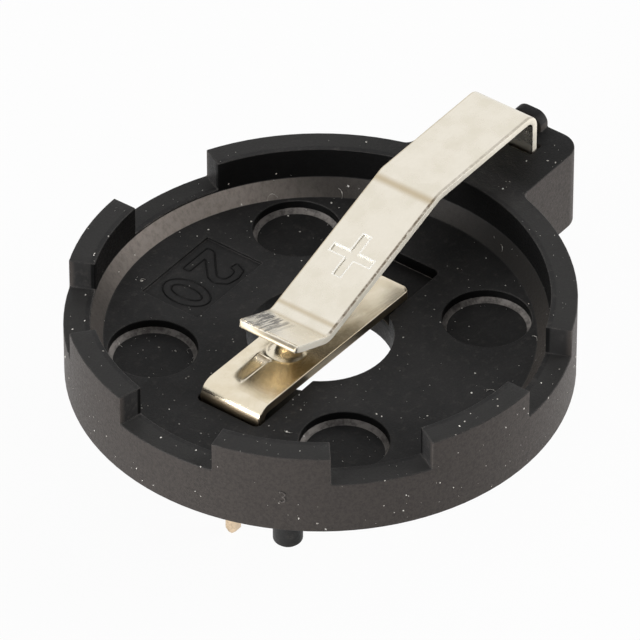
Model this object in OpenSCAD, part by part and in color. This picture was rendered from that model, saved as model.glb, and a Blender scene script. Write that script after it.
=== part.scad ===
// Through-hole holder for one 20 mm coin cell.
// A round moulded cup with a notched rim carries two plated spring strips: a clip that
// reaches over the cell from a tab on the rim, and a contact that lies in the cup's floor.
// Origin: the cup's centre on the circuit board. +X points at the tab, +Z away from the board.

/* [Cell] */
// Diameter of the coin cell
cell_d = 20; // [18:0.5:24]
// Thickness of the coin cell
cell_t = 3.2; // [2.6:0.1:4]

/* [Cup] */
// Thickness of the rim's wall
wall_t = 1.25; // [0.8:0.05:2]
// Gap round the cell at the foot of the sloping seat
cell_clear = 0.1; // [0.05:0.05:0.4]
// Width of the sloping ring that centres the cell
seat_w = 0.6; // [0.3:0.05:1.2]
// Height of the sloping ring above the floor
seat_h = 0.8; // [0.4:0.05:1.1]
// Thickness of the floor
floor_t = 1.9; // [1.5:0.05:2.5]
// Height of the rim above the board
rim_h = 4.35; // [4:0.05:5.2]
// Height of the notches' sills above the sloping ring
notch_sill = 0.1; // [0.05:0.05:0.8]
// Direction of the middle notch, counted from the tab
notch_mid = 179.6; // [175:0.1:185]
// Angle from one notch to the next
notch_step = 51.1; // [48:0.1:56]
// Angle across the notch on the left of the tab
notch_left = 27.3; // [18:0.1:30]
// Angle across each of the next two notches
notch_back = 25.6; // [18:0.1:30]
// Angle across each of the two notches on the right of the tab
notch_right = 23; // [18:0.1:30]
// Diameter of the hole through the middle of the floor
hole_d = 6.9; // [5:0.1:8.4]

/* [Floor recesses] */
// Diameter of the four blind recesses
recess_d = 4.2; // [3:0.1:5]
// Gap between the recesses and the foot of the seat
recess_gap = 0.15; // [0.1:0.05:0.8]
// Depth of the recesses
recess_depth = 0.65; // [0.3:0.05:1]
// Bevel round the foot of each recess
recess_bevel = 0.2; // [0.05:0.05:0.3]
// Length of the shallow panel for the size number
panel_l = 5.05; // [3:0.05:6]
// Width of the shallow panel
panel_w = 3.25; // [2:0.05:4]
// Depth of the shallow panel
panel_depth = 0.15; // [0.05:0.05:0.5]
// Gap between the panel and the foot of the seat
panel_gap = 1.55; // [1:0.05:2]

/* [Tab] */
// Length of the tab beyond the cup
tab_l = 4.5; // [4:0.05:6]
// Width of the tab
tab_w = 6.6; // [5.6:0.1:9]
// Radius of the tab's outer corners
tab_corner = 1.2; // [0.4:0.1:1.6]
// Radius of the fillets where the tab meets the cup
tab_fillet = 0.5; // [0.2:0.1:1.2]
// Width of the upright lip behind the clip
lip_w = 1.75; // [1.4:0.05:3.2]
// Distance of the lip's middle to the right of the tab's middle
lip_shift = 0.3; // [0:0.05:0.6]
// Thickness of the lip
lip_t = 0.6; // [0.3:0.05:0.8]
// Height of the lip above the tab
lip_h = 0.8; // [0.7:0.05:1.6]
// Radius of the lip's top corners
lip_corner = 0.6; // [0.2:0.05:0.7]

/* [Locating peg] */
// Diameter of the locating peg
peg_d = 1.4; // [1:0.05:2]
// Length of the peg below the board side of the cup
peg_l = 2.15; // [1:0.05:3]
// Distance of the peg's middle from the outside of the cup
peg_inset = 1.8; // [1:0.05:2.4]
// Direction of the peg, counted from the tab
peg_angle = 208.5; // [198:0.5:225]
// Bevel at the tip of the peg
peg_bevel = 0.2; // [0.05:0.05:0.4]

/* [Clip] */
// Thickness of the clip's strip
clip_t = 0.4; // [0.25:0.05:0.5]
// Width of the clip's strip
clip_w = 3.4; // [2.8:0.1:4.2]
// Distance of the clip's leg from the end of the tab
leg_inset = 1.63; // [1.2:0.01:2]
// Gap between the seated cell and the clip's level arm
arm_clear = 1; // [0.6:0.05:2]
// Length of the level arm, from the middle of the leg to the first bend
arm_l = 7.6; // [5:0.1:9]
// Place of the lowest bend, which presses on the cell
press_x = -1.6; // [-3:0.1:1]
// Gap between the lowest bend and the contact's button with no cell in
press_gap = 0.25; // [0.1:0.05:0.8]
// Length of the raised lead-in beyond the lowest bend, along X
lead_l = 2.45; // [1:0.05:4]
// Rise of the lead-in
lead_rise = 0.97; // [0.2:0.01:2]
// Inner radius of the bend at the top of the leg
leg_bend = 0.4; // [0.2:0.05:0.8]
// Inner radius of the two bends in the arm
arm_bend = 0.7; // [0.4:0.05:1.2]
// Radius of the corners at the clip's end
clip_corner = 0.3; // [0.1:0.05:0.8]
// Gap between the strips and the sides of their pockets
strip_clear = 0.08; // [0.05:0.01:0.15]
// Gap between the clip's leg and the cup side of its pocket
leg_gap_in = 0.2; // [0.1:0.05:0.4]
// Gap between the clip's leg and the outer side of its pocket
leg_gap_out = 0.25; // [0.1:0.05:0.5]
// Thickness of the plastic under the leg's shoulders
leg_seat_h = 1; // [0.6:0.1:2]

/* [Contact] */
// Thickness of the contact's strip
contact_t = 0.5; // [0.25:0.05:0.5]
// Width of the contact's strip
contact_w = 3.4; // [2.4:0.1:3.8]
// Length of the contact
contact_l = 11.8; // [9:0.1:13]
// Distance of the contact's fixed end from the foot of the seat
contact_inset = 3.1; // [2.4:0.05:3.6]
// Height of the contact's upper face above the floor at its fixed end
contact_rise = 0.74; // [0.6:0.02:1]
// Drop of the contact from its fixed end to its free end
contact_drop = 0.36; // [0:0.02:0.4]
// Inner radius of the contact's bend
contact_bend = 0.3; // [0.15:0.05:0.4]
// Radius of the corners at the contact's free end
contact_corner = 0.4; // [0.1:0.05:0.8]
// Radius of the domed button that touches the cell
button_r = 0.95; // [0.6:0.05:1.2]
// Height of the button above the strip
button_h = 0.42; // [0.2:0.02:0.5]
// Place of the button's middle
button_x = -2.58; // [-3:0.02:0]
// Depth of the channel in the floor
channel_depth = 0.65; // [0.4:0.05:1]
// Gap between the contact's fixed end and the end of the channel
channel_gap_fixed = 0.2; // [0.1:0.05:0.4]
// Gap between the contact's free end and the other end of the channel
channel_gap_free = 2.2; // [0.3:0.1:2.4]
// Radius of the channel's corners
channel_corner = 0.3; // [0.1:0.05:0.6]

/* [Solder pins] */
// Width of both solder pins
pin_w = 0.6; // [0.5:0.05:1.2]
// Length of both solder pins below the board side of the cup
pin_l = 5.55; // [2.5:0.05:6]
// Bevel at the sides of a pin's tip
pin_bevel = 0.2; // [0.05:0.01:0.25]
// Gap all round a pin in its slot
pin_clear = 0.06; // [0.05:0.01:0.15]

/* [Hidden] */

$fn = 96;
small_fn = 48;
cut = 0.5;                                   // how far a cutter runs past the face it opens
blend = 0.002;                               // makes a rounding cross the faces it joins, not just touch

seat_r = cell_d / 2 + cell_clear;            // foot of the sloping ring
pocket_r = seat_r + seat_w;                  // inside of the rim
body_r = pocket_r + wall_t;                  // outside of the cup
seat_z = floor_t + seat_h;                   // top of the sloping ring
notch_z = seat_z + notch_sill;
recess_at = seat_r - recess_gap - recess_d / 2;
panel_y0 = seat_r - panel_gap - panel_w;

tab_end = body_r + tab_l;
leg_x = tab_end - leg_inset - clip_t / 2;    // middle of the clip's leg
clip_pocket_w = clip_w + 2 * strip_clear;
arm_z = floor_t + cell_t + arm_clear + clip_t / 2;   // middle of the level arm

contact_x0 = contact_inset - seat_r;         // fixed end of the contact
contact_x1 = contact_x0 + contact_l;         // free end of the contact
contact_z0 = floor_t + contact_rise;         // upper face at the fixed end
contact_pin_x = contact_x0 + contact_t / 2;
button_z = contact_z0 - contact_drop * (button_x - contact_x0) / contact_l;
channel_z = floor_t - channel_depth;
channel_w = contact_w + 2 * strip_clear;

// ---- shared shapes -------------------------------------------------------------------------

function unit(v) = v / norm(v);
function turn_of(a, b) = atan2(a.x * b.y - a.y * b.x, a * b);

// Length that a bend of middle radius r takes from each side of corner i.
function trim(pts, r, i) =
    i == 0 || i == len(pts) - 1 ? 0
    : r[i] * tan(abs(turn_of(pts[i] - pts[i - 1], pts[i + 1] - pts[i])) / 2);

// Side view of a folded strip of thickness t along corner points, where r holds the radius of
// the strip's middle at each corner: a mitred outline, filled inside each bend and rounded
// outside it.
module fold_profile(pts, r, t) {
    last = len(pts) - 1;
    difference() {
        union() {
            polygon(concat(
                [for (i = [0 : last]) pts[i] + mitre(pts, i, t / 2)],
                [for (i = [last : -1 : 0]) pts[i] - mitre(pts, i, t / 2)]
            ));
            for (i = [1 : last - 1])
                bend_piece(pts, r, i, r[i] - t / 2, r[i]);
        }
        for (i = [1 : last - 1])
            bend_piece(pts, r, i, r[i] + t / 2, r[i] + t);
    }
}

// Step from corner i to the strip's face on the left of its path.
function mitre(pts, i, half) =
    let(
        d0 = unit(i == 0 ? pts[1] - pts[0] : pts[i] - pts[i - 1]),
        d1 = unit(i == len(pts) - 1 ? pts[i] - pts[i - 1] : pts[i + 1] - pts[i]),
        turn = turn_of(d0, d1)
    )
    half * ([-d0.y, d0.x] - tan(turn / 2) * d0);

// The corner of bend i between a circle of radius r_in and the two lines that touch radius r_out.
module bend_piece(pts, r, i, r_in, r_out) {
    d0 = unit(pts[i] - pts[i - 1]);
    turn = turn_of(d0, unit(pts[i + 1] - pts[i]));
    side = sign(turn);
    from = atan2(-side * d0.x, side * d0.y);
    ray = function(a) [cos(from + a), sin(from + a)];
    translate(pts[i] - d0 * trim(pts, r, i) + side * r[i] * [-d0.y, d0.x])
        difference() {
            polygon([
                r_in * ray(0),
                r_out * ray(0),
                r_out / cos(turn / 2) * ray(turn / 2),
                r_out * ray(turn),
                r_in * ray(turn)
            ]);
            circle(r_in + blend);
        }
}

// A side view in X and Z, given its width along Y.
module across_y(w) {
    rotate([90, 0, 0])
        translate([0, 0, -w / 2])
            linear_extrude(w)
                children();
}

// A rectangle from x0 to x1, centred on Y, with round corners.
module round_bar(x0, x1, w, r) {
    translate([x0 + r, -w / 2]) square([x1 - x0 - 2 * r, w]);
    translate([x0, -w / 2 + r]) square([x1 - x0, w - 2 * r]);
    for (x = [x0 + r, x1 - r], y = [-w / 2 + r, w / 2 - r])
        translate([x, y]) circle(r, $fn = small_fn);
}

// A flat solder pin that hangs from height z_top; t is its thickness along X.
module solder_pin(x, t, z_top) {
    translate([x - t / 2, 0, 0])
        rotate([90, 0, 90])
            linear_extrude(t)
                polygon([
                    [-pin_w / 2, z_top],
                    [-pin_w / 2, -pin_l + pin_bevel],
                    [-pin_w / 2 + pin_bevel, -pin_l],
                    [pin_w / 2 - pin_bevel, -pin_l],
                    [pin_w / 2, -pin_l + pin_bevel],
                    [pin_w / 2, z_top]
                ]);
}

// ---- housing -------------------------------------------------------------------------------

// The turned form of the cup: rim, sloping seat and floor.
module cup() {
    rotate_extrude()
        polygon([
            [0, 0],
            [body_r, 0],
            [body_r, rim_h],
            [pocket_r, rim_h],
            [pocket_r, seat_z],
            [seat_r, floor_t],
            [0, floor_t]
        ]);
}

// Plan of the tab with round outer corners and fillets into the cup.
module tab_plan() {
    round_bar(pocket_r, tab_end, tab_w, tab_corner);
    translate([pocket_r, -tab_w / 2]) square([tab_corner * 2, tab_w]);
    for (side = [-1, 1])
        scale([1, side]) tab_root();
}

// One fillet: the corner between the cup's circle and the tab's side, less a round cutter.
module tab_root() {
    side = tab_w / 2;
    cy = side + tab_fillet;
    cx = sqrt((body_r + tab_fillet) ^ 2 - cy ^ 2);
    touch = [cx, cy] * body_r / (body_r + tab_fillet);
    difference() {
        polygon([
            [touch.x - tab_fillet, side - tab_fillet],
            [cx, side - tab_fillet],
            [cx, side],
            [cx, cy],
            touch
        ]);
        translate([cx, cy]) circle(tab_fillet + blend, $fn = small_fn);
    }
}

module tab() {
    linear_extrude(rim_h)
        difference() {
            tab_plan();
            circle(pocket_r);
        }
    translate([tab_end - lip_t, -lip_shift, rim_h])
        rotate([90, 0, 90])
            linear_extrude(lip_t)
                lip_face();
}

// The lip seen from the end of the tab.
module lip_face() {
    translate([-lip_w / 2, -cut])
        square([lip_w, lip_h + cut - lip_corner]);
    translate([-lip_w / 2 + lip_corner, 0])
        square([lip_w - 2 * lip_corner, lip_h]);
    for (side = [-1, 1])
        translate([side * (lip_w / 2 - lip_corner), lip_h - lip_corner])
            circle(lip_corner, $fn = small_fn);
}

// The round peg that fits the board.
module locating_peg() {
    rotate(peg_angle)
        translate([body_r - peg_inset, 0, 0])
            rotate_extrude($fn = small_fn)
                polygon([
                    [0, floor_t / 2],
                    [peg_d / 2, floor_t / 2],
                    [peg_d / 2, -peg_l + peg_bevel],
                    [peg_d / 2 - peg_bevel, -peg_l],
                    [0, -peg_l]
                ]);
}

// Cuts the rim down between its blocks.
module rim_notches() {
    widths = [notch_left, notch_back, notch_back, notch_right, notch_right];
    for (k = [0 : len(widths) - 1])
        rotate(notch_mid + (k - 2) * notch_step - widths[k] / 2)
            translate([0, 0, notch_z])
                rotate_extrude(angle = widths[k])
                    translate([pocket_r - cut, 0])
                        square([wall_t + 2 * cut, rim_h - notch_z + cut]);
}

// Blind recess with a bevelled foot.
module recess() {
    r = recess_d / 2;
    rotate_extrude()
        polygon([
            [0, floor_t - recess_depth],
            [r - recess_bevel, floor_t - recess_depth],
            [r, floor_t - recess_depth + recess_bevel],
            [r, floor_t + cut],
            [0, floor_t + cut]
        ]);
}

module floor_cuts() {
    translate([0, 0, -cut]) cylinder(d = hole_d, h = floor_t + 2 * cut);
    for (a = [45 : 90 : 315])
        rotate(a) translate([recess_at, 0, 0]) recess();
    translate([-panel_l / 2, panel_y0, floor_t - panel_depth])
        cube([panel_l, panel_w, panel_depth + cut]);
    translate([0, 0, channel_z])
        linear_extrude(channel_depth + cut)
            round_bar(contact_x0 - channel_gap_fixed, contact_x1 + channel_gap_free,
                      channel_w, channel_corner);
    pin_slot(contact_pin_x, contact_t, channel_z);
}

module clip_pocket() {
    translate([leg_x - clip_t / 2 - leg_gap_in, -clip_pocket_w / 2, leg_seat_h])
        cube([clip_t + leg_gap_in + leg_gap_out, clip_pocket_w, rim_h]);
    pin_slot(leg_x, clip_t, leg_seat_h);
}

// Slot through the floor of a pocket for a pin of thickness t.
module pin_slot(x, t, z_top) {
    sx = t + 2 * pin_clear;
    sy = pin_w + 2 * pin_clear;
    translate([x - sx / 2, -sy / 2, -cut]) cube([sx, sy, z_top + 2 * cut]);
}

module housing() {
    color([0.13, 0.13, 0.135])
        difference() {
            union() {
                cup();
                tab();
                locating_peg();
            }
            rim_notches();
            floor_cuts();
            clip_pocket();
        }
}

// ---- positive clip -------------------------------------------------------------------------

// Corner points of the middle of the clip's strip, from the leg's foot to the lead-in's end.
function clip_line() =
    let(
        low = button_z + button_h + press_gap + clip_t / 2,
        slope = atan2(arm_z - low, leg_x - arm_l - press_x),
        lift = atan2(lead_rise, lead_l),
        press = [press_x, low + clip_t / 2 * (1 / cos((slope + lift) / 2) - 1)]
    )
    [
        [leg_x, leg_seat_h],
        [leg_x, arm_z],
        [leg_x - arm_l, arm_z],
        press,
        press + [-lead_l, lead_rise]
    ];

module positive_clip() {
    leg_r = leg_bend + clip_t / 2;
    arm_r = arm_bend + clip_t / 2;
    color([0.80, 0.78, 0.72]) {
        intersection() {
            across_y(clip_w)
                fold_profile(clip_line(), [0, leg_r, arm_r, arm_r, 0], clip_t);
            linear_extrude(arm_z + clip_t)
                round_bar(clip_line()[4].x - clip_t / 4, leg_x + clip_t + clip_corner, clip_w, clip_corner);
        }
        solder_pin(leg_x, clip_t, leg_seat_h);
    }
}

// ---- negative contact ----------------------------------------------------------------------

// Corner points of the middle of the contact's strip, from its foot to its free end.
function contact_line() =
    let(z = contact_z0 - contact_t / 2)
    [
        [contact_pin_x, channel_z],
        [contact_pin_x, z],
        [contact_x1, z - contact_drop]
    ];

// The button: a low cap of a ball that stands on the strip.
module contact_button() {
    ball_r = (button_r ^ 2 + button_h ^ 2) / (2 * button_h);
    sink = contact_t / 4;
    translate([button_x, 0, button_z])
        intersection() {
            translate([0, 0, button_h - ball_r]) sphere(ball_r);
            translate([0, 0, -sink]) cylinder(r = 2 * button_r, h = button_h + 2 * sink);
        }
}

module negative_contact() {
    color([0.78, 0.74, 0.66]) {
        intersection() {
            across_y(contact_w)
                fold_profile(contact_line(), [0, contact_bend + contact_t / 2, 0], contact_t);
            linear_extrude(contact_z0 + contact_t)
                round_bar(contact_x0 - contact_corner, contact_x1, contact_w, contact_corner);
        }
        contact_button();
        solder_pin(contact_pin_x, contact_t, channel_z);
    }
}

housing();
positive_clip();
negative_contact();
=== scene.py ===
import math
import random

import bmesh
import bpy
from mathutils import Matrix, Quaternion, Vector
from mathutils.bvhtree import BVHTree


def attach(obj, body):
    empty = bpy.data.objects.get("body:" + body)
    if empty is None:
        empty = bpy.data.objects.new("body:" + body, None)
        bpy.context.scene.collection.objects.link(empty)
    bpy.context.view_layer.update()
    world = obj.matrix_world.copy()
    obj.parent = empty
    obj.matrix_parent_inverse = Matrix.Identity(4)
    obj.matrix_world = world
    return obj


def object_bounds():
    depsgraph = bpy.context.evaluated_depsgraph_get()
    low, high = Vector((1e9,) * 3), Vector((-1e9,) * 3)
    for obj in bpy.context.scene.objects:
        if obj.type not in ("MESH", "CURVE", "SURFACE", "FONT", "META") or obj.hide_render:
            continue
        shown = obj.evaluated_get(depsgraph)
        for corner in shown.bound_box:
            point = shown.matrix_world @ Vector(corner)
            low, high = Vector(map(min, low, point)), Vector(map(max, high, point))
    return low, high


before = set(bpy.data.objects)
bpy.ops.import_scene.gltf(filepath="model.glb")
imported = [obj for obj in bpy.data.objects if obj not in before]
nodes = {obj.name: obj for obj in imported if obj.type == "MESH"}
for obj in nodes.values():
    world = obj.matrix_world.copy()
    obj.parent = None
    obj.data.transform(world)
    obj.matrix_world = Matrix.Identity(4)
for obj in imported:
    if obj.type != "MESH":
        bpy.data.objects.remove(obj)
cad_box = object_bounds()

MM = 0.001
scene = bpy.context.scene
housing, clip, contact = (nodes[n] for n in ("housing", "positive_clip", "negative_contact"))


# ---- shader graph helpers --------------------------------------------------------------------

def new_material(name):
    """An empty node material and its tree."""
    material = bpy.data.materials.new(name)
    material.use_nodes = True
    material.node_tree.nodes.clear()
    return material, material.node_tree


def add(tree, kind, values=None, **settings):
    """A shader node; values go to input sockets, as constants or links."""
    made = tree.nodes.new("ShaderNode" + kind)
    for key, value in settings.items():
        setattr(made, key, value)
    for key, value in (values or {}).items():
        socket = made.inputs[key]
        if isinstance(value, bpy.types.NodeSocket):
            tree.links.new(value, socket)
        else:
            socket.default_value = value
    return made


def calc(tree, operation, a, b=0.0):
    return add(tree, "Math", {0: a, 1: b}, operation=operation).outputs[0]


def remap(tree, value, low, high, to_low=0.0, to_high=1.0):
    """Value from low..high to to_low..to_high, eased and clamped."""
    limits = {"From Min": low, "From Max": high, "To Min": to_low, "To Max": to_high}
    made = add(tree, "MapRange", {"Value": value, **limits}, interpolation_type="SMOOTHSTEP")
    return made.outputs["Result"]


def blend(tree, share, a, b):
    """Colour a with a share of colour b over it; 6, 7 and 2 are a Mix node's colour sockets."""
    return add(tree, "Mix", {0: share, 6: a, 7: b}, data_type="RGBA").outputs[2]


def noise(tree, where, scale, detail=3.0, rough=0.55):
    """Noise value at a scale in waves per millimetre."""
    made = add(
        tree, "TexNoise",
        {"Vector": where, "Scale": scale / MM, "Detail": detail, "Roughness": rough},
    )
    return made.outputs["Fac"]


def bump(tree, height, distance, strength=1.0, normal=None):
    """Bump of the given height in millimetres."""
    values = {"Height": height, "Distance": distance * MM, "Strength": strength}
    if normal is not None:
        values["Normal"] = normal
    return add(tree, "Bump", values).outputs["Normal"]


def place(tree):
    """The place on the piece, in metres."""
    return add(tree, "TexCoord").outputs["Object"]


def stretched(tree, where, factors):
    """The place with its axes scaled, for noise that runs one way."""
    return add(tree, "Mapping", {"Vector": where, "Scale": factors}, vector_type="POINT").outputs[0]


def millimetres(tree, where):
    """The x, y and z of a place, in millimetres."""
    spot = add(tree, "SeparateXYZ", {0: where})
    return [calc(tree, "DIVIDE", spot.outputs[k], MM) for k in ("X", "Y", "Z")]


def face_direction(tree):
    """The X, Y and Z of the way a face looks, before any bump."""
    true = add(tree, "NewGeometry").outputs["True Normal"]
    return add(tree, "SeparateXYZ", {0: true}).outputs


def within(tree, value, low, high, ease):
    """1 between low and high, easing to 0 outside them."""
    over = remap(tree, value, low - ease, low)
    under = remap(tree, value, high + ease, high)
    return calc(tree, "MULTIPLY", over, under)


def band(tree, value, middle, half):
    """1 at the middle, easing to 0 at half a band away."""
    away = calc(tree, "ABSOLUTE", calc(tree, "SUBTRACT", value, middle))
    return remap(tree, away, half, 0)


def product(tree, *shares):
    """The shares multiplied together."""
    total = shares[0]
    for share in shares[1:]:
        total = calc(tree, "MULTIPLY", total, share)
    return total


def finish_with(tree, shader):
    """Ends a material's tree with its shader."""
    add(tree, "OutputMaterial", {"Surface": shader})


# ---- sizes and tones -------------------------------------------------------------------------

# Regions of the housing, in millimetres.
SEAT_FOOT, SEAT_TOP = 1.9, 2.7
SEAT_INNER, SEAT_OUTER = 10.12, 10.75
RECESS_FLOOR, RECESS_FOOT = 1.25, 0.24

# Tones of the plastic, linear.
PLASTIC_DARK = (0.019, 0.0187, 0.0187, 1)
PLASTIC_LIGHT = (0.027, 0.0262, 0.026, 1)
PATCH = (0.060, 0.055, 0.052, 1)
# Painted light: the outer wall is lighter than the rest, as where light falls on its sides.
OUTER_WALL_LIGHT = (0.056, 0.049, 0.045, 1)
OUTER_SPOTS = (0.022, 0.0205, 0.020, 1)
# Painted light: the rim's flat tops are lighter, as where light falls from above.
RIM_TOP_LIGHT = (0.036, 0.035, 0.034, 1)
# Painted shade: the tab's top is darker towards its end.
TAB_TOP_SHADE = (0.008, 0.008, 0.008, 1)
# The seat ring: a darker tone over it, and pale streaks that are strongest towards +y.
SEAT_DARK = (0.014, 0.013, 0.012, 1)
SEAT_PALE_STREAK = (0.33, 0.29, 0.26, 1)
# Painted shade: the inner walls above the floor are nearly black.
INNER_WALL_SHADE = (0.002, 0.002, 0.002, 1)
# Painted highlight: a pale band round the sloping foot of the recess walls.
FOOT_HIGHLIGHT = (0.24, 0.222, 0.208, 1)
# Painted highlight: rounded edges are lighter, as where they catch the light.
EDGE_HIGHLIGHT = (0.22, 0.20, 0.185, 1)
BLACK = (0, 0, 0, 1)

# Tones of the strips, linear.
# Painted reflection: brown on the contact's side faces.
FLANK_REFLECTION = (0.24, 0.18, 0.11, 1)
# Painted shade: dark brown low on the contact's front face, down into the channel.
FRONT_SHADE = (0.10, 0.065, 0.03, 1)
# A brown line along the near edge of the clip's top faces, broken by pits.
NEAR_EDGE_BROWN = (0.10, 0.065, 0.035, 1)
# Painted highlight: a pale line round the stamped plus.
PLUS_HIGHLIGHT = (1.0, 0.98, 0.92, 1)
PIN_WARM = (0.74, 0.58, 0.41, 1)
SCRATCH_GREY = (0.14, 0.135, 0.13, 1)

# Tones of the dust and fibres, linear.
LINT_DIM = (0.34, 0.32, 0.29, 1)
LINT_BRIGHT = (0.95, 0.92, 0.86, 1)

# The plus stamped into the clip's sloping arm, in millimetres: place, half lengths, half stroke.
PLUS_AT = (2.45, 0.0)
PLUS_HALF = (1.24, 1.10)
PLUS_STROKE = 0.17
PLUS_CORNER = 0.09
# Rows of the stamp from above the arm to its floor: share that widens the stroke, and height.
PLUS_ROWS = [(0.40, 0.03), (0.15, -0.02), (0.30, -0.08)]
# Reach and easing of the painted highlight round the plus.
HIGHLIGHT_OUTER, HIGHLIGHT_INNER, HIGHLIGHT_EASE = 0.10, -0.02, 0.03

# The contact's crease: (x, share of the depth) along it, and (y, height) across it.
CREASE_ENDS = [(-5.80, 0.0), (-5.55, 0.7), (-5.30, 1.0), (-4.4, 1.0), (-3.48, 1.0)]
CREASE_PROFILE = [
    (1.02, 0.05), (1.0, 0.0), (0.90, -0.008), (0.76, -0.028), (0.60, -0.056), (0.44, -0.084),
    (0.33, -0.098), (0.27, -0.092), (0.22, -0.04), (0.185, 0.0), (0.17, 0.05),
]
STRIP_LOW, STRIP_HIGH = (-5.9, -1.2), (3.0, -1.2)

# The size number in the floor's panel: its corner, the panel's height, the figures' outlines.
SIZE_CORNER = (1.98, 8.15)
SIZE_FLOOR = 1.75
TWO = [
    (0.0, 0.0), (1.9, 0.0), (1.9, 0.4), (0.68, 0.4), (1.72, 1.35), (1.9, 1.85), (1.55, 2.42),
    (0.95, 2.55), (0.32, 2.42), (0.06, 1.84), (0.48, 1.74), (0.62, 2.1), (1.0, 2.16), (1.36, 2.08),
    (1.46, 1.78), (1.32, 1.55), (0.0, 0.42),
]
TWO_CORNER = 0.13
ZERO_AT, ZERO_OUTER, ZERO_INNER = (3.22, 1.25), (0.84, 1.27), (0.40, 0.84)
LINE_HALF, LINE_HEIGHT, LINE_SUNK = 0.05, 0.04, 0.03

# The cavity number on the outer wall: its bearing, height, the radius of its bows and its line.
THREE_AT = math.radians(-151.5)
THREE_HEIGHT = 2.0
THREE_BOW = 0.15
THREE_LINE = 0.042

# Dust and fibres: (x, y, length, curl) of each fibre, in millimetres and radians.
SPECKS = 560
FIBRES = [
    (6.75, 7.6, 0.7, 2.6), (13.0, 1.9, 0.8, 2.2), (-3.9, 4.6, 0.5, 3.0), (-5.6, 7.6, 0.45, 1.5),
    (-6.6, -2.9, 0.5, 2.5), (5.6, -8.4, 0.5, 2.0), (8.6, 5.2, 0.45, 2.4), (-9.2, -3.2, 0.4, 1.4),
    (1.5, -9.0, 0.5, 1.6), (-1.8, 8.9, 0.35, 2.8), (9.7, -3.4, 0.4, 2.2),
]

# Camera and lamps, in metres.
TARGET = Vector((2.60, 1.97, 0)) * MM
BACK = Vector((-0.617, -0.4635, 0.636)).normalized()
CAMERA_AWAY = 0.4034
CAMERA_LENS = 483.0
LAMP_AWAY = 0.6
FLOOR_HALF = 1.5
FLOOR_WHITE = 0.95
WORLD_SOFT = 0.18


# ---- materials -------------------------------------------------------------------------------

def edge_share(tree, radius, low, high):
    """Share from 0 on flat faces to 1 on edges rounder than the given radius in millimetres."""
    soft = add(tree, "Bevel", {"Radius": radius * MM}, samples=6).outputs[0]
    true = add(tree, "NewGeometry").outputs["True Normal"]
    facing = add(tree, "VectorMath", {0: soft, 1: true}, operation="DOT_PRODUCT").outputs["Value"]
    return remap(tree, facing, high, low)


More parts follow.
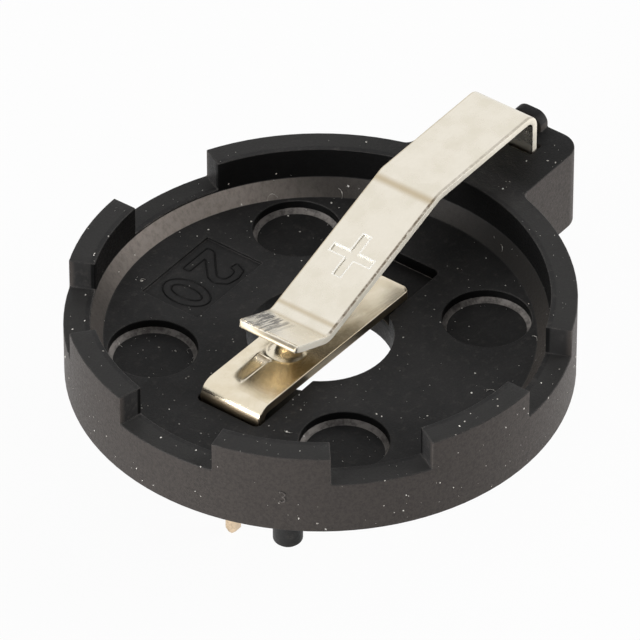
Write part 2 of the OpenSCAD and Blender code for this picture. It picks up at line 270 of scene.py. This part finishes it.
def plastic(name, with_edge_highlights=True, shade=1.0):
    """Moulded dark plastic: grain and flow clouds, with painted light, shade and highlights by
    region.

    Tones follow regions of the housing: painted light on the outer wall and rim tops, painted shade
    on the inner walls and the tab's top, painted highlights on the recess foot and rounded edges,
    and a darker seat ring with pale streaks by place. shade is the share of the colour that is
    kept, a painted shade for fine raised lines.
    """
    material, tree = new_material(name)
    where = place(tree)
    grain = noise(tree, where, 9, 5, 0.65)
    cloud = noise(tree, where, 0.45, 4)
    patch = noise(tree, where, 2.6, 5, 0.7)
    spots = noise(tree, where, 6, 6, 0.8)
    turned = noise(tree, stretched(tree, where, (1, 1, 0.4)), 4, 5, 0.75)
    x, y, z = millimetres(tree, where)
    squares = calc(tree, "ADD", calc(tree, "MULTIPLY", x, x), calc(tree, "MULTIPLY", y, y))
    radius = calc(tree, "SQRT", squares)
    nz = calc(tree, "ABSOLUTE", face_direction(tree)["Z"])
    upright = remap(tree, nz, 0.35, 0.15)
    level = remap(tree, nz, 0.8, 0.95)

    base = blend(tree, remap(tree, cloud, 0.3, 0.7), PLASTIC_DARK, PLASTIC_LIGHT)
    base = blend(tree, remap(tree, patch, 0.50, 0.78, 0, 0.6), base, PATCH)

    # Painted light: the outer wall is made lighter; the darker specks over it are random tone.
    outer = product(tree, upright, remap(tree, radius, 11.6, 11.9))
    base = blend(tree, outer, base, OUTER_WALL_LIGHT)
    speckled = product(tree, outer, remap(tree, spots, 0.42, 0.62), 0.45)
    base = blend(tree, speckled, base, OUTER_SPOTS)

    # Painted light: the rim's flat tops, except the tab, are made lighter.
    top_light_share = product(
        tree, level, remap(tree, radius, 10.9, 11.0), remap(tree, x, 11.5, 10.5), 0.7)
    base = blend(tree, top_light_share, base, RIM_TOP_LIGHT)
    # Painted shade: the tab's flat top darkens towards its end.
    base = blend(tree, product(tree, level, remap(tree, x, 11.6, 12.6), 0.85), base, TAB_TOP_SHADE)

    # The seat ring is darker, with pale streaks strongest towards +y and between x 1.3 and 4.5.
    on_seat = product(
        tree,
        within(tree, radius, SEAT_INNER, SEAT_OUTER, 0.06),
        within(tree, z, SEAT_FOOT + 0.04, SEAT_TOP - 0.02, 0.05),
        within(tree, nz, 0.4, 0.8, 0.1),
    )
    seat_pale_share = product(
        tree,
        remap(tree, y, -3.5, 3.5, 0.10, 1.0),
        remap(tree, x, 9.0, 4.5, 0.1, 1.0),
        remap(tree, x, -5.2, 1.3, 0.14, 1.0),
    )
    streaks = product(tree, on_seat, seat_pale_share, remap(tree, turned, 0.3, 0.6, 0.7, 1.0))
    base = blend(tree, on_seat, base, SEAT_DARK)
    base = blend(tree, streaks, base, SEAT_PALE_STREAK)

    # Painted shade: the inner walls above the floor are made nearly black.
    inner_shade_share = product(tree, upright, remap(tree, radius, 10.95, 10.85), remap(tree, z, 0.9, 1.0))
    base = blend(tree, calc(tree, "MULTIPLY", inner_shade_share, 0.95), base, INNER_WALL_SHADE)
    # Painted highlight: a pale band on the sloping faces just above the recess floor.
    foot = product(
        tree,
        within(tree, nz, 0.3, 0.93, 0.04),
        within(tree, z, RECESS_FLOOR, RECESS_FLOOR + RECESS_FOOT, 0.03),
        remap(tree, patch, 0.35, 0.6, 0.4, 1.0),
    )
    base = blend(tree, foot, base, FOOT_HIGHLIGHT)

    # Painted highlight: the housing's rounded edges are made lighter, broken up by noise.
    if with_edge_highlights:
        edge = edge_share(tree, 0.09, 0.80, 0.985)
        edge_light_share = product(tree, edge, remap(tree, patch, 0.3, 0.65, 0.3, 1.0))
        edge_light_share = calc(tree, "MULTIPLY", edge_light_share, calc(tree, "SUBTRACT", 1.0, inner_shade_share))
        base = blend(tree, edge_light_share, base, EDGE_HIGHLIGHT)
    # Painted shade: the colour is darkened to its shade share.
    if shade < 1:
        base = blend(tree, 1 - shade, base, BLACK)

    normal = bump(tree, grain, 0.014)
    normal = bump(tree, patch, 0.012, 0.6, normal)
    shader = add(tree, "BsdfPrincipled", {
        "Base Color": base,
        "Roughness": remap(tree, grain, 0.3, 0.7, 0.40, 0.60),
        "IOR": 1.45,
        "Specular IOR Level": 0.13,
        "Normal": normal,
    })
    finish_with(tree, shader.outputs[0])
    return material


def plus_outline(tree, x, y, stretch):
    """1 in a narrow line all round the stamped plus."""
    along = calc(tree, "MULTIPLY", calc(tree, "SUBTRACT", x, PLUS_AT[0]), stretch)
    ax = calc(tree, "ABSOLUTE", along)
    ay = calc(tree, "ABSOLUTE", y)
    shares = []
    for grow in (HIGHLIGHT_OUTER, HIGHLIGHT_INNER):
        bars = []
        for half_x, half_y in ((PLUS_HALF[0], PLUS_STROKE), (PLUS_STROKE, PLUS_HALF[1])):
            end_x, end_y = half_x + grow, half_y + grow
            bars.append(product(
                tree,
                remap(tree, ax, end_x + HIGHLIGHT_EASE, end_x),
                remap(tree, ay, end_y + HIGHLIGHT_EASE, end_y),
            ))
        shares.append(calc(tree, "MAXIMUM", *bars))
    return calc(tree, "SUBTRACT", *shares)


def plating(name, tint, dull, warm, rough, shaded_bends=(), brushed=None, stamped=None, reflection_tone=None):
    """Plate on spring strip: rolling marks along x, dull blotches, pits, sheared sides, warm edges.

    Bend places (x, half width, share) in millimetres each get a band of painted shade on
    upward faces.
    brushed is the corner (x, y) beyond which a tool left parallel scratches.
    stamped is how much longer the sloping arm is than its x, and gives the plus a painted
    highlight round its outline.
    The contact's tone beside its crease is a painted brown reflection; with it come painted
    reflections on the strip's sides and painted shade low on its front face.
    """
    material, tree = new_material(name)
    where = place(tree)
    x, y, z = millimetres(tree, where)
    facing = face_direction(tree)
    upward = remap(tree, facing["Z"], 0.5, 0.8)
    flank = remap(tree, calc(tree, "ABSOLUTE", facing["Y"]), 0.75, 0.95)
    front = product(tree, remap(tree, facing["X"], -0.80, -0.93), remap(tree, x, 3, 2))
    sheared = calc(tree, "MAXIMUM", flank, front)

    cloud = noise(tree, where, 0.8, 4)
    rolled = noise(tree, stretched(tree, where, (0.06, 1, 1)), 16, 4, 0.7)
    grain = noise(tree, where, 24, 4, 0.7)
    pits = noise(tree, where, 5, 6, 0.75)

    colour = blend(tree, remap(tree, cloud, 0.35, 0.75), tint, dull)
    fleck = calc(tree, "ADD", grain, calc(tree, "MULTIPLY", rolled, 0.6))
    colour = blend(tree, remap(tree, fleck, 0.62, 0.98, 0, 0.35), colour, dull)
    colour = blend(tree, remap(tree, pits, 0.66, 0.76, 0, 0.6), colour, warm)
    # Painted shade: a dark warm band across the upward faces at each bend.
    for middle, half, share in shaded_bends:
        bend_shade = calc(tree, "MULTIPLY", band(tree, x, middle, half), upward)
        colour = blend(tree, calc(tree, "MULTIPLY", bend_shade, share), colour, warm)
    edge = edge_share(tree, 0.07, 0.70, 0.985)
    edge = calc(tree, "MULTIPLY", edge, remap(tree, pits, 0.30, 0.55, 0.45, 1))
    dark_warm = tuple(0.45 * c for c in warm[:3]) + (1,)
    colour = blend(tree, product(tree, edge, upward, 0.9), colour, dark_warm)

    if reflection_tone:
        # Painted reflection: a brown zone on the upward faces beside the contact's crease.
        reflection_zone = product(
            tree,
            remap(tree, x, -5.6, -4.3),
            remap(tree, x, 2.0, 0.2, 0.15, 1),
            remap(tree, y, 0.35, -0.15),
            upward,
        )
        reflection_zone = calc(tree, "MULTIPLY", reflection_zone, remap(tree, pits, 0.3, 0.6, 0.30, 0.62))
        colour = blend(tree, reflection_zone, colour, reflection_tone)
        # Painted reflection: the strip's side faces are made brown.
        colour = blend(tree, product(tree, flank, 0.75), colour, FLANK_REFLECTION)
        # Painted shade: the front face darkens towards its low end in the channel.
        foot = product(tree, front, remap(tree, z, 2.45, 2.1), 0.85)
        colour = blend(tree, foot, colour, FRONT_SHADE)

    matt = calc(tree, "MULTIPLY", flank, 0.6 if stamped else 0.0)
    if stamped:
        pit_broken = remap(tree, pits, 0.32, 0.56, 0.3, 1)
        sloping = product(
            tree, remap(tree, x, 7.2, 6.4, 0.45, 1), remap(tree, x, -1.7, -1.3))
        # A brown line along the near edge of the clip's top faces, broken by pits.
        near = product(tree, remap(tree, y, -1.52, -1.60), upward, pit_broken, sloping, 0.9)
        colour = blend(tree, near, colour, NEAR_EDGE_BROWN)
        far = product(tree, remap(tree, y, 1.58, 1.66), upward, pit_broken, 0.75)
        colour = blend(tree, far, colour, warm)
        colour = blend(tree, product(tree, front, 0.65), colour, warm)
        matt = calc(tree, "ADD", matt, calc(tree, "MULTIPLY", front, 0.3))
        # Painted highlight: a pale, less metallic line round the stamped plus.
        plus_light_share = product(tree, plus_outline(tree, x, y, stamped), upward)
        colour = blend(tree, calc(tree, "MULTIPLY", plus_light_share, 0.8), colour, PLUS_HIGHLIGHT)
        matt = calc(tree, "ADD", matt, calc(tree, "MULTIPLY", plus_light_share, 0.5))

    below = remap(tree, z, 0.1, -0.3)
    bare = calc(tree, "MULTIPLY", below, remap(tree, pits, 0.35, 0.6, 0.6, 0.95))
    colour = blend(tree, bare, colour, PIN_WARM)

    height = calc(tree, "ADD", calc(tree, "MULTIPLY", rolled, 0.5), grain)
    roughness = remap(tree, cloud, 0.3, 0.7, rough - 0.05, rough + 0.06)
    roughness = calc(tree, "ADD", roughness, calc(tree, "MULTIPLY", sheared, 0.24))
    if brushed:
        along = remap(tree, x, brushed[0], brushed[0] - 0.3)
        side = remap(tree, y, brushed[1] - 0.45, brushed[1] + 0.35)
        lines = noise(tree, stretched(tree, where, (0.10, 1, 0.10)), 7, 3, 0.6)
        marks = product(tree, along, side, upward, remap(tree, lines, 0.44, 0.56))
        colour = blend(tree, calc(tree, "MULTIPLY", marks, 0.8), colour, SCRATCH_GREY)
        height = calc(tree, "SUBTRACT", height, marks)
    shader = add(tree, "BsdfPrincipled", {
        "Base Color": colour,
        "Metallic": calc(tree, "SUBTRACT", 1.0, matt),
        "Roughness": roughness,
        "Normal": bump(tree, height, 0.0035),
    })
    finish_with(tree, shader.outputs[0])
    return material


def lint():
    """Pale dust and fibres, each a little brighter or dimmer than the next."""
    material, tree = new_material("lint_look")
    where = place(tree)
    tone = noise(tree, where, 3, 2)
    colour = blend(tree, remap(tree, tone, 0.35, 0.65), LINT_DIM, LINT_BRIGHT)
    shader = add(tree, "BsdfPrincipled", {"Base Color": colour, "Roughness": 0.85})
    finish_with(tree, shader.outputs[0])
    return material


plastic_look = plastic("housing_plastic_look")
# Painted shade: the size number is the housing's plastic kept at 15% of its colour.
shaded_number_look = plastic("moulded_number_look", with_edge_highlights=False, shade=0.15)
clip_look = plating(
    "clip_metal_look",
    tint=(0.84, 0.79, 0.69, 1), dull=(0.76, 0.71, 0.60, 1), warm=(0.50, 0.40, 0.25, 1), rough=0.25,
    # The bands at the clip's bends below are painted shade.
    shaded_bends=[(6.5, 0.34, 0.75), (-1.05, 0.22, 0.6), (-1.75, 0.25, 0.3)],
    brushed=(-1.95, 0.1), stamped=1.08,
)
contact_look = plating(
    "contact_metal_look",
    tint=(0.82, 0.745, 0.60, 1), dull=(0.74, 0.65, 0.49, 1), warm=(0.42, 0.30, 0.16, 1), rough=0.16,
    # The brown tone below is a painted reflection beside the contact's crease.
    reflection_tone=(0.33, 0.25, 0.13, 1),
)
lint_look = lint()
housing.material_slots[0].material = plastic_look
clip.material_slots[0].material = clip_look
contact.material_slots[0].material = contact_look


# ---- rounded edges ---------------------------------------------------------------------------

def soften(piece, width, segments, angle=32):
    """Rounds the sharp edges of a CAD node with modifiers."""
    weld = piece.modifiers.new("weld", "WELD")
    weld.merge_threshold = 2e-6
    edge = piece.modifiers.new("edge", "BEVEL")
    edge.limit_method = "ANGLE"
    edge.angle_limit = math.radians(angle)
    edge.width = width * MM
    edge.segments = segments
    edge.miter_outer = "MITER_ARC"
    edge.use_clamp_overlap = False
    edge.loop_slide = False
    edge.face_strength_mode = "FSTR_ALL"


def even_normals(piece):
    """Last modifier of a CAD node: flat faces shade flat, rounded edges smoothly."""
    normals = piece.modifiers.new("normals", "WEIGHTED_NORMAL")
    normals.keep_sharp = False
    normals.use_face_influence = True


soften(housing, 0.055, 3)
soften(clip, 0.07, 3)
soften(contact, 0.06, 3)


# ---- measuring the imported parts, making meshes -----------------------------------------------

UP, DOWN = Vector((0, 0, 1)), Vector((0, 0, -1))
ABOVE = 20


def surface(piece):
    """A tree for casting rays at a piece as its modifiers leave it."""
    return BVHTree.FromObject(piece, bpy.context.evaluated_depsgraph_get())


def drop(tree, x, y):
    """Point and normal where a ray from above meets the tree, in millimetres."""
    point, normal, _, _ = tree.ray_cast(Vector((x, y, ABOVE)) * MM, DOWN)
    return (point / MM, normal) if point else (None, None)


def link_mesh(name, verts, faces, material, smooth=True):
    """A finished mesh piece that rides on the body; coordinates in millimetres."""
    mesh = bpy.data.meshes.new(name)
    mesh.from_pydata([Vector(v) * MM for v in verts], [], faces)
    mesh.validate()
    if smooth:
        mesh.polygons.foreach_set("use_smooth", [True] * len(mesh.polygons))
    mesh.materials.append(material)
    piece = bpy.data.objects.new(name, mesh)
    scene.collection.objects.link(piece)
    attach(piece, "root")
    return piece


def join(verts, faces, more, sides):
    """Adds another shell's corners and faces to a mesh's lists."""
    faces += [tuple(len(verts) + i for i in side) for side in sides]
    verts += more


def tube_sides(rows, ring):
    """Faces between the rows of a tube whose rows have ring corners each."""
    sides = []
    for i in range(rows - 1):
        for k in range(ring):
            m = (k + 1) % ring
            sides.append((i * ring + k, i * ring + m, (i + 1) * ring + m, (i + 1) * ring + k))
    return sides


def tube(rows, ring):
    """Faces of a tube with both its ends closed."""
    near = tuple(reversed(range(ring)))
    far = tuple(range((rows - 1) * ring, rows * ring))
    return tube_sides(rows, ring) + [near, far]


def circle(centre, across, along, radius, count):
    """Corners of a circle in the plane of two unit vectors."""
    turns = [math.tau * k / count for k in range(count)]
    return [centre + (across * math.cos(t) + along * math.sin(t)) * radius for t in turns]


housing_tree, clip_tree, contact_tree = surface(housing), surface(clip), surface(contact)


# ---- stamped and moulded marks ---------------------------------------------------------------

def cut_away(piece, name, verts, faces):
    """Subtracts a hidden solid from a CAD node with a Boolean modifier."""
    mesh = bpy.data.meshes.new(name)
    mesh.from_pydata([Vector(v) * MM for v in verts], [], faces)
    solid = bmesh.new()
    solid.from_mesh(mesh)
    bmesh.ops.recalc_face_normals(solid, faces=solid.faces)
    solid.to_mesh(mesh)
    solid.free()
    cutter = bpy.data.objects.new(name, mesh)
    scene.collection.objects.link(cutter)
    cutter.hide_render = True
    cutter.hide_viewport = True
    step = piece.modifiers.new(name, "BOOLEAN")
    step.operation = "DIFFERENCE"
    step.solver = "EXACT"
    step.object = cutter


def ridge(path, half, height, sunk):
    """A low ridge along a closed path of (point, side, up), its foot sunk below the surface."""
    verts, faces = [], []
    section = [(-1.0, -sunk), (-1.0, 0.0), (-0.4, height), (0.4, height), (1.0, 0.0), (1.0, -sunk)]
    n, count = len(section), len(path)
    for point, side, up in path:
        verts += [point + side * (half * across) + up * lift for across, lift in section]
    for i in range(count):
        j = (i + 1) % count
        for k in range(n):
            m = (k + 1) % n
            faces.append((n * i + k, n * i + m, n * j + m, n * j + k))
    return verts, faces


def outline(points, up, to_space):
    """Path for ridge() from a flat closed outline."""
    path = []
    count = len(points)
    for i in range(count):
        before, after = points[i - 1], points[(i + 1) % count]
        along = (after - before).normalized()
        side = Vector((-along.y, along.x))
        at = to_space(points[i])
        path.append((at, to_space(points[i] + side) - at, up))
    return path


def rounded(corners, radius, steps=5):
    """Closed flat outline with its corners rounded."""
    made = []
    count = len(corners)
    for i in range(count):
        corner = Vector(corners[i])
        back = (Vector(corners[i - 1]) - corner).normalized()
        ahead = (Vector(corners[(i + 1) % count]) - corner).normalized()
        start, end = corner + back * radius, corner + ahead * radius
        for k in range(steps + 1):
            t = k / steps
            made.append((1 - t) ** 2 * start + 2 * t * (1 - t) * corner + t ** 2 * end)
    return made


def stamp_plus():
    """The polarity sign pressed into the clip's sloping arm."""
    middle, up = drop(clip_tree, *PLUS_AT)
    across = Vector((0, 1, 0))
    along = across.cross(up).normalized()
    w, a, b = PLUS_STROKE, *PLUS_HALF
    corners = [
        (a, -w), (a, w), (w, w), (w, b), (-w, b), (-w, w),
        (-a, w), (-a, -w), (-w, -w), (-w, -b), (w, -b), (w, -w),
    ]
    edge = rounded(corners, PLUS_CORNER)
    verts = []
    for share, height in PLUS_ROWS:
        for p in edge:
            px, py = (c + math.copysign(share * w, c) if abs(c) > 1e-6 else c for c in p)
            verts.append(middle + along * px + across * py + up * height)
    count, rows = len(edge), len(PLUS_ROWS)
    faces = tube_sides(rows, count)
    faces.append(tuple(range(count)))
    faces.append(tuple(reversed(range((rows - 1) * count, rows * count))))
    cut_away(clip, "plus_cutter", verts, faces)


def crease_contact():
    """The long crease pressed into the contact between its button and bend, one flank steep."""
    low, _ = drop(contact_tree, *STRIP_LOW)
    high, _ = drop(contact_tree, *STRIP_HIGH)
    tilt = (high.z - low.z) / (high.x - low.x)
    verts = []
    for x, share in CREASE_ENDS:
        ground = low.z + tilt * (x - low.x)
        for y, h in CREASE_PROFILE:
            verts.append(Vector((x, y, ground + (h * share if h < 0 else h))))
    cut_away(contact, "crease_cutter", verts, tube(len(CREASE_ENDS), len(CREASE_PROFILE)))


def mould_size():
    """The cell's size, 20, as raised outlines in the floor's panel; it reads from the far side."""
    def to_space(p):
        return Vector((SIZE_CORNER[0] - p.x, SIZE_CORNER[1] - p.y, SIZE_FLOOR))

    def oval(half, count=40):
        turns = [math.tau * i / count for i in range(count)]
        return [
            Vector((ZERO_AT[0] + half[0] * math.cos(t), ZERO_AT[1] + half[1] * math.sin(t)))
            for t in turns
        ]

    verts, faces = [], []
    for points in (rounded(TWO, TWO_CORNER, 4), oval(ZERO_OUTER), oval(ZERO_INNER)):
        path = outline(points, UP, to_space)
        join(verts, faces, *ridge(path, LINE_HALF, LINE_HEIGHT, LINE_SUNK))
    link_mesh("size_number", verts, faces, shaded_number_look, smooth=False)


def mould_three():
    """A tiny raised 3 on the cup's outer wall, the mould's cavity number."""
    radius = cad_box[1].y / MM
    out = Vector((math.cos(THREE_AT), math.sin(THREE_AT), 0))
    right = Vector((-out.y, out.x, 0))
    path = []
    for middle, start, end in ((THREE_BOW, 140, -85), (-THREE_BOW, 85, -140)):
        for k in range(9):
            turn = math.radians(start + (end - start) * k / 8)
            path.append((THREE_BOW * math.cos(turn), middle + THREE_BOW * math.sin(turn)))
    verts = []
    ring = 6
    for i, (a, b) in enumerate(path):
        before, after = path[max(i - 1, 0)], path[min(i + 1, len(path) - 1)]
        along = (right * (after[0] - before[0]) + UP * (after[1] - before[1])).normalized()
        centre = out * (radius + 0.004) + right * a + UP * (THREE_HEIGHT + b)
        verts += circle(centre, along.cross(out), out, THREE_LINE, ring)
    link_mesh("cavity_number", verts, tube(len(path), ring), plastic_look)


stamp_plus()
crease_contact()
mould_size()
mould_three()
for node in (housing, clip, contact):
    even_normals(node)


# ---- dust and fibres -------------------------------------------------------------------------

def speck(rng, point, normal, size):
    """Corners and faces of one flattened crumb lying on a surface."""
    side = normal.orthogonal().normalized()
    side.rotate(Quaternion(normal, rng.uniform(0, math.tau)))
    other = normal.cross(side)
    ring = 6
    verts = [point + normal * size * rng.uniform(0.35, 0.7)]
    for i in range(ring):
        turn = math.tau * i / ring
        reach = size * rng.uniform(0.6, 1.25)
        at = point + side * reach * math.cos(turn) + other * reach * 0.75 * math.sin(turn)
        verts.append(at + normal * size * 0.1)
    verts.append(point - normal * size * 0.1)
    faces = []
    for i in range(ring):
        j = (i + 1) % ring
        faces += [(0, 1 + i, 1 + j), (ring + 1, 1 + j, 1 + i)]
    return verts, faces


def scatter_dust():
    """Specks on the housing, from above and from all round, where no strip is in the way."""
    rng = random.Random(7)
    verts, faces = [], []
    made = 0
    while made < SPECKS:
        if rng.random() < 0.68:
            x, y = rng.uniform(-12, 16.4), rng.uniform(-12, 12)
            start, ray = Vector((x, y, ABOVE)) * MM, DOWN
        else:
            turn, z = rng.uniform(0, math.tau), rng.uniform(0.1, 4.3)
            out = Vector((math.cos(turn), math.sin(turn), 0))
            start, ray = (out * 30 + Vector((0, 0, z))) * MM, -out
        if clip_tree.ray_cast(start, ray)[0] or contact_tree.ray_cast(start, ray)[0]:
            continue
        point, normal, _, _ = housing_tree.ray_cast(start, ray)
        if not point or normal.dot(ray) > -0.3:
            continue
        size = 0.016 + 0.055 * rng.random() ** 3
        join(verts, faces, *speck(rng, point / MM, normal, size))
        made += 1
    link_mesh("dust", verts, faces, lint_look, smooth=False)


def fibre(rng, x, y, length, curl, radius=0.008):
    """A short curled fibre lying on the housing: a tube swept along a bending line."""
    steps, ring = 22, 6
    heading = rng.uniform(0, math.tau)
    at = Vector((x, y))
    points = []
    for i in range(steps):
        point, normal = drop(housing_tree, at.x, at.y)
        if point is None:
            break
        points.append(point + normal * (radius + 0.05 * math.sin(math.pi * i / steps) ** 2))
        heading += curl / steps * (1 + 0.6 * math.sin(3 * i / steps))
        at += Vector((math.cos(heading), math.sin(heading))) * length / steps
    verts = []
    for i, point in enumerate(points):
        ahead = (points[min(i + 1, len(points) - 1)] - points[max(i - 1, 0)]).normalized()
        side = (UP - ahead * ahead.z).normalized()
        thin = radius * (0.45 + 0.55 * math.sin(math.pi * (i + 0.5) / len(points)))
        verts += circle(point, side, ahead.cross(side), thin, ring)
    return verts, tube(len(points), ring)


def lay_fibres():
    rng = random.Random(3)
    verts, faces = [], []
    for x, y, length, curl in FIBRES:
        join(verts, faces, *fibre(rng, x, y, length, 0.6 * curl))
    link_mesh("fibres", verts, faces, lint_look)


scatter_dust()
lay_fibres()


# ---- stage, lamps, camera --------------------------------------------------------------------

def make_camera():
    """The photograph's view, solved from the rim, the notches and the tab."""
    data = bpy.data.cameras.new("camera")
    data.sensor_width = 36
    data.lens = CAMERA_LENS
    data.clip_start = 0.01
    data.clip_end = 10
    camera = bpy.data.objects.new("camera", data)
    camera.location = TARGET + BACK * CAMERA_AWAY
    camera.rotation_mode = "QUATERNION"
    camera.rotation_quaternion = (-BACK).to_track_quat("-Z", "Y")
    scene.collection.objects.link(camera)
    scene.camera = camera


def seen_directly(tree):
    """1 for rays of sight, of mirrors and of glass, 0 for rays that gather light."""
    path = add(tree, "LightPath")
    seen = calc(tree, "MAXIMUM", path.outputs["Is Camera Ray"], path.outputs["Is Glossy Ray"])
    return calc(tree, "MAXIMUM", seen, path.outputs["Is Transmission Ray"])


def make_floor():
    """A wide pale floor at the pins' tips; it shows white, with the object's soft shadow."""
    mesh = bpy.data.meshes.new("floor")
    side, z = FLOOR_HALF, cad_box[0].z
    corners = [(-side, -side, z), (side, -side, z), (side, side, z), (-side, side, z)]
    mesh.from_pydata(corners, [], [(0, 1, 2, 3)])
    floor = bpy.data.objects.new("floor", mesh)
    scene.collection.objects.link(floor)
    material, tree = new_material("floor_white")
    diffuse = add(tree, "BsdfDiffuse", {"Color": (0.82, 0.82, 0.82, 1)})
    white = add(tree, "Emission", {"Color": (1, 1, 1, 1), "Strength": 1.0})
    share = calc(tree, "MULTIPLY", seen_directly(tree), FLOOR_WHITE)
    mixed = add(tree, "MixShader", {0: share, 1: diffuse.outputs[0], 2: white.outputs[0]})
    finish_with(tree, mixed.outputs[0])
    mesh.materials.append(material)


def make_world():
    """White where it is seen or mirrored, and only a soft fill as light."""
    world = bpy.data.worlds.new("studio")
    scene.world = world
    world.use_nodes = True
    tree = world.node_tree
    tree.nodes.clear()
    soft = add(tree, "Background", {"Color": (1, 1, 1, 1), "Strength": WORLD_SOFT})
    white = add(tree, "Background", {"Color": (1, 1, 1, 1), "Strength": 1.0})
    ends = {1: soft.outputs[0], 2: white.outputs[0]}
    mixed = add(tree, "MixShader", {0: seen_directly(tree), **ends})
    add(tree, "OutputWorld", {"Surface": mixed.outputs[0]})


def make_lamp(name, towards, size, power, mirrored=True):
    """A square soft lamp; towards is where it hangs, and mirrored lets metal show it."""
    data = bpy.data.lights.new(name, "AREA")
    data.shape = "SQUARE"
    data.size = size
    data.energy = power
    lamp = bpy.data.objects.new(name, data)
    lamp.visible_glossy = mirrored
    direction = Vector(towards).normalized()
    lamp.location = TARGET + direction * LAMP_AWAY
    lamp.rotation_mode = "QUATERNION"
    lamp.rotation_quaternion = (-direction).to_track_quat("-Z", "Y")
    scene.collection.objects.link(lamp)


make_camera()
make_floor()
make_world()
make_lamp("top", (0.3, 0.5, 1.4), size=0.9, power=0.7, mirrored=False)
make_lamp("right", (1.0, -1.0, 0.25), size=0.40, power=6.6, mirrored=False)
make_lamp("left", (-1.0, 0.25, 0.06), size=0.40, power=7.5)

scene.view_settings.view_transform = "Standard"
